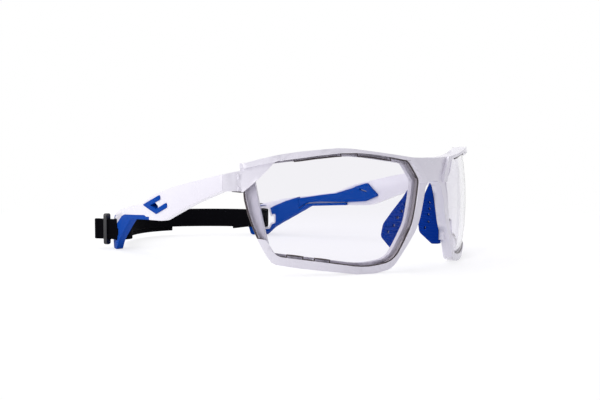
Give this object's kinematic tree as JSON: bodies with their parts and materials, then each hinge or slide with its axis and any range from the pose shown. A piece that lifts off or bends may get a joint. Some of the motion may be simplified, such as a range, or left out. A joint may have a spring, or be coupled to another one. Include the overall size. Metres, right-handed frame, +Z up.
{
  "type": "sports sunglasses",
  "caption": "Wrap-round sports sunglasses with clear lenses in a white frame, blue rubber nose pads and temple grips, and an elastic strap joining the temple tips.",
  "frame": {"origin": "on the table, under the middle of the bounding box of the glasses standing unfolded with the strap laid out behind", "axes": "+Z up, +Y from the front to the strap at the back of the head, +X the wearer's left"},
  "size_m": [0.1372, 0.1786, 0.0467],
  "materials": {
    "white_frame": "gloss",
    "clear_lens": "polished clear",
    "blue_rubber": "satin",
    "steel_screw": "turned",
    "black_keeper": "matt",
    "black_webbing": "woven elastic"
  },
  "bodies": {
    "front": {"front_frame": "white_frame", "right_lens": "clear_lens", "left_lens": "clear_lens", "right_nose_pad": "blue_rubber", "left_nose_pad": "blue_rubber", "right_hinge_screw": "steel_screw", "left_hinge_screw": "steel_screw"},
    "right_arm": {"right_temple": "white_frame", "right_temple_pad": "blue_rubber", "right_tip_cover": "blue_rubber", "right_strap_half": "black_webbing"},
    "left_arm": {"left_temple": "white_frame", "left_temple_pad": "blue_rubber", "left_tip_cover": "blue_rubber", "left_strap_half": "black_webbing"},
    "right_keeper": {"right_strap_keeper": "black_keeper"},
    "left_keeper": {"left_strap_keeper": "black_keeper"}
  },
  "joints": [
    {"name": "left_temple_fold", "type": "hinge", "parent": "front", "child": "left_arm", "pos_m": [0.063, -0.04356, 0.034], "axis": [0, 0, 1], "range_deg": [0, 82], "deforming": ["left_strap_half"]},
    {"name": "right_temple_fold", "type": "hinge", "parent": "front", "child": "right_arm", "pos_m": [-0.063, -0.04356, 0.034], "axis": [0, 0, -1], "range_deg": [0, 73], "deforming": ["right_strap_half"]},
    {"name": "right_keeper_slide", "type": "slide", "parent": "right_arm", "child": "right_keeper", "axis": [-0.334, 0.9426, 0], "range_m": [-0.0016, 0.0028]},
    {"name": "left_keeper_slide", "type": "slide", "parent": "left_arm", "child": "left_keeper", "axis": [0.334, 0.9426, 0], "range_m": [-0.0016, 0.0028]}
  ]
}
